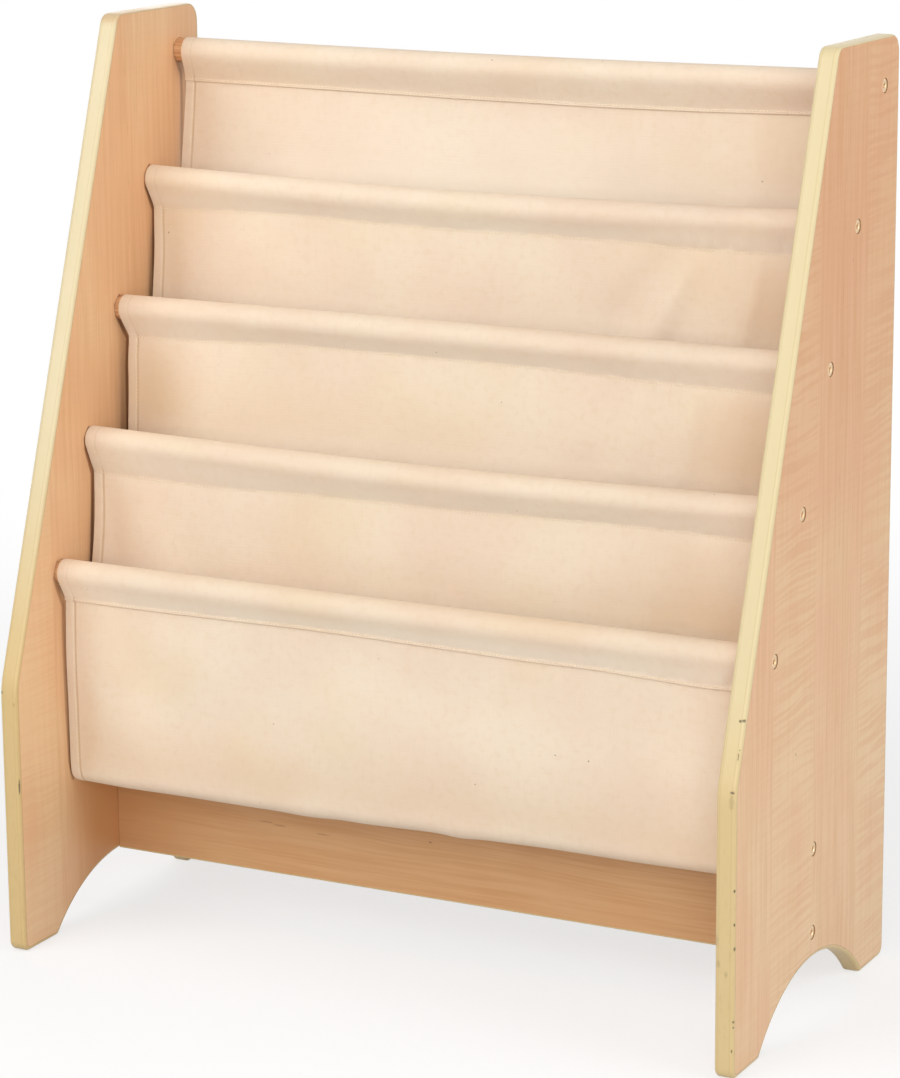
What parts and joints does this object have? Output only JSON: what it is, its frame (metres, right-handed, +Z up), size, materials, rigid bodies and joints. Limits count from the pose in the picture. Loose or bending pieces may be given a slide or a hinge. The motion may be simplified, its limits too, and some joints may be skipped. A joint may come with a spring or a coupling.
{
  "type": "sling bookshelf",
  "caption": "Child's sling bookshelf: slanted wooden side panels, round rods between them, and a canvas sling sewn round the rods that hangs as tiered book pockets.",
  "frame": {"origin": "on the floor, under the middle of the shelf's bounding box", "axes": "+Z up, +X to the right as seen from the front, +Y from the front to the back; the front faces -Y"},
  "size_m": [0.616, 0.296, 0.718],
  "materials": {
    "panel": "satin maple laminate with painted cream-yellow edges",
    "rail": "satin maple laminate, grain along the rail",
    "rod": "plain sanded hardwood dowel",
    "canvas": "unbleached cotton canvas, plain weave",
    "screw": "yellow zinc plated steel"
  },
  "bodies": {
    "root": {"left_side_panel": "panel", "right_side_panel": "panel", "bottom_rail": "rail", "sling_rod_1": "rod", "sling_rod_2": "rod", "sling_rod_3": "rod", "sling_rod_4": "rod", "sling_rod_5": "rod", "canvas_sleeve_1": "canvas", "canvas_sleeve_2": "canvas", "canvas_sleeve_3": "canvas", "canvas_sleeve_4": "canvas", "canvas_sleeve_5": "canvas", "canvas_pocket_1": "canvas", "canvas_pocket_2": "canvas", "canvas_pocket_3": "canvas", "canvas_pocket_4": "canvas", "rod_screw_left_1": "screw", "rod_screw_left_2": "screw", "rod_screw_left_3": "screw", "rod_screw_left_4": "screw", "rod_screw_left_5": "screw", "rod_screw_right_1": "screw", "rod_screw_right_2": "screw", "rod_screw_right_3": "screw", "rod_screw_right_4": "screw", "rod_screw_right_5": "screw", "rail_screw_left_1": "screw", "rail_screw_left_2": "screw", "rail_screw_right_1": "screw", "rail_screw_right_2": "screw"}
  },
  "joints": []
}
